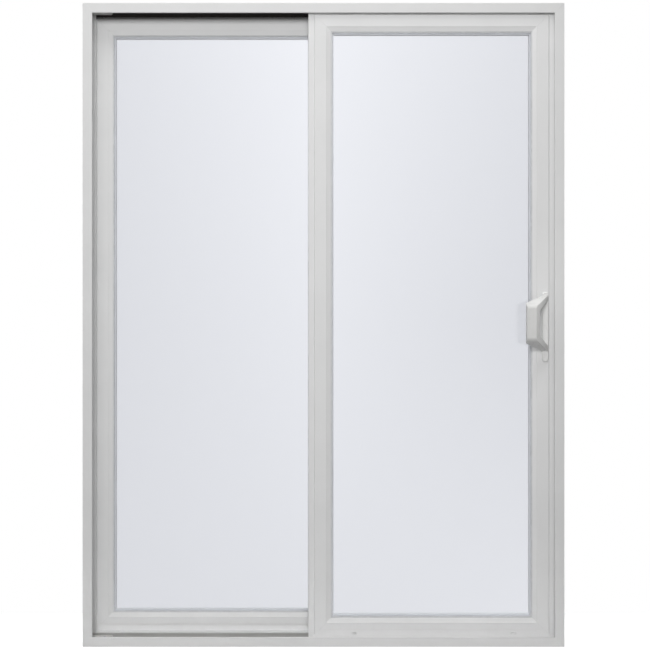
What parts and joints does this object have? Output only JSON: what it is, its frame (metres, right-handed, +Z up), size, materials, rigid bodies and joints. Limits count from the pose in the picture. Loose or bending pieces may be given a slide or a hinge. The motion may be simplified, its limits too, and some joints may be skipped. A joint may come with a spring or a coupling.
{
  "type": "sliding glass patio door",
  "caption": "White vinyl patio door in its frame: a fixed glazed panel and a glazed panel that slides sideways on rollers, with an offset pull handle.",
  "frame": {"origin": "middle of the sill's underside, where the frame stands in its opening", "axes": "+Z up, +X to the right as seen from the room, +Y out of the room"},
  "size_m": [1.511, 0.168, 2.019],
  "materials": {
    "frame_vinyl": "white satin vinyl extrusion",
    "sash_vinyl": "white satin vinyl extrusion, welded at its mitres",
    "bead_vinyl": "white satin vinyl bead",
    "interlock_vinyl": "white satin vinyl strip",
    "clear_glass": "clear float glass, faintly blue",
    "spacer_bar": "satin aluminium spacer bar",
    "gasket_rubber": "pale grey glazing gasket",
    "setting_rubber": "black setting block",
    "stop_plastic": "pale moulded plastic",
    "track_aluminium": "satin aluminium extrusion",
    "black_pile": "black woven pile",
    "carriage_steel": "plated pressed steel",
    "roller_nylon": "natural nylon",
    "plug_plastic": "white moulded plastic plug",
    "handle_paint": "white powder-coated die casting",
    "lock_steel": "plated steel"
  },
  "bodies": {
    "frame": {"frame_head": "frame_vinyl", "frame_sill": "frame_vinyl", "left_jamb": "frame_vinyl", "right_jamb": "frame_vinyl", "fixed_jamb_stile": "sash_vinyl", "fixed_meeting_stile": "sash_vinyl", "fixed_top_rail": "sash_vinyl", "fixed_bottom_rail": "sash_vinyl", "fixed_left_bead": "bead_vinyl", "fixed_right_bead": "bead_vinyl", "fixed_top_bead": "bead_vinyl", "fixed_bottom_bead": "bead_vinyl", "fixed_glass_panes": "clear_glass", "fixed_glass_spacer": "spacer_bar", "fixed_glazing_gaskets": "gasket_rubber", "fixed_interlock": "interlock_vinyl", "setting_blocks": "setting_rubber", "sill_stop": "stop_plastic", "head_stop": "stop_plastic", "roller_track": "track_aluminium", "head_pile_seal": "black_pile", "lock_keeper": "lock_steel"},
    "sliding_panel": {"sliding_meeting_stile": "sash_vinyl", "sliding_lock_stile": "sash_vinyl", "sliding_top_rail": "sash_vinyl", "sliding_bottom_rail": "sash_vinyl", "sliding_left_bead": "bead_vinyl", "sliding_right_bead": "bead_vinyl", "sliding_top_bead": "bead_vinyl", "sliding_bottom_bead": "bead_vinyl", "sliding_glass_panes": "clear_glass", "sliding_glass_spacer": "spacer_bar", "sliding_glazing_gaskets": "gasket_rubber", "sliding_interlock": "interlock_vinyl", "left_roller_carriage": "carriage_steel", "right_roller_carriage": "carriage_steel", "rollers": "roller_nylon", "adjuster_plugs": "plug_plastic", "handle_plate": "handle_paint", "inside_pull": "handle_paint", "outside_pull": "handle_paint", "lock_case": "lock_steel"}
  },
  "joints": [
    {"name": "panel_slide", "type": "slide", "parent": "frame", "child": "sliding_panel", "axis": [-1, 0, 0], "range_m": [0, 0.62]}
  ]
}
